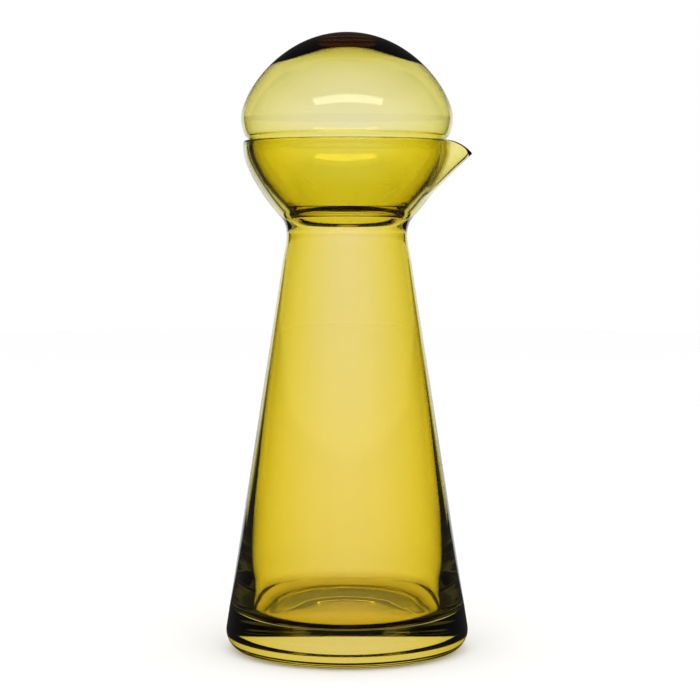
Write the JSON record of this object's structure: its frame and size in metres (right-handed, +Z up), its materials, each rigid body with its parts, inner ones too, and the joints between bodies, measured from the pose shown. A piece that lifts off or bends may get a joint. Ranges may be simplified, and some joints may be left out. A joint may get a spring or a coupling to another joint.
{
  "type": "carafe with tumbler",
  "caption": "Blown-glass carafe with a conical body, narrow neck and beak-spouted bowl, and a domed tumbler that rests upside down in the bowl as its lid.",
  "frame": {"origin": "centre of the foot, on the surface that the carafe stands on", "axes": "+Z up along the carafe's axis, +X towards the spout"},
  "size_m": [0.1078, 0.1062, 0.27],
  "materials": {
    "carafe_glass": "clear yellow blown glass, fire polished",
    "tumbler_glass": "clear pale yellow blown glass, fire polished"
  },
  "bodies": {
    "carafe": {"carafe": "carafe_glass"},
    "tumbler": {"tumbler": "tumbler_glass"}
  },
  "joints": [
    {"name": "tumbler_lift", "type": "slide", "parent": "carafe", "child": "tumbler", "axis": [0, 0, 1], "range_m": [0, 0.06]}
  ]
}
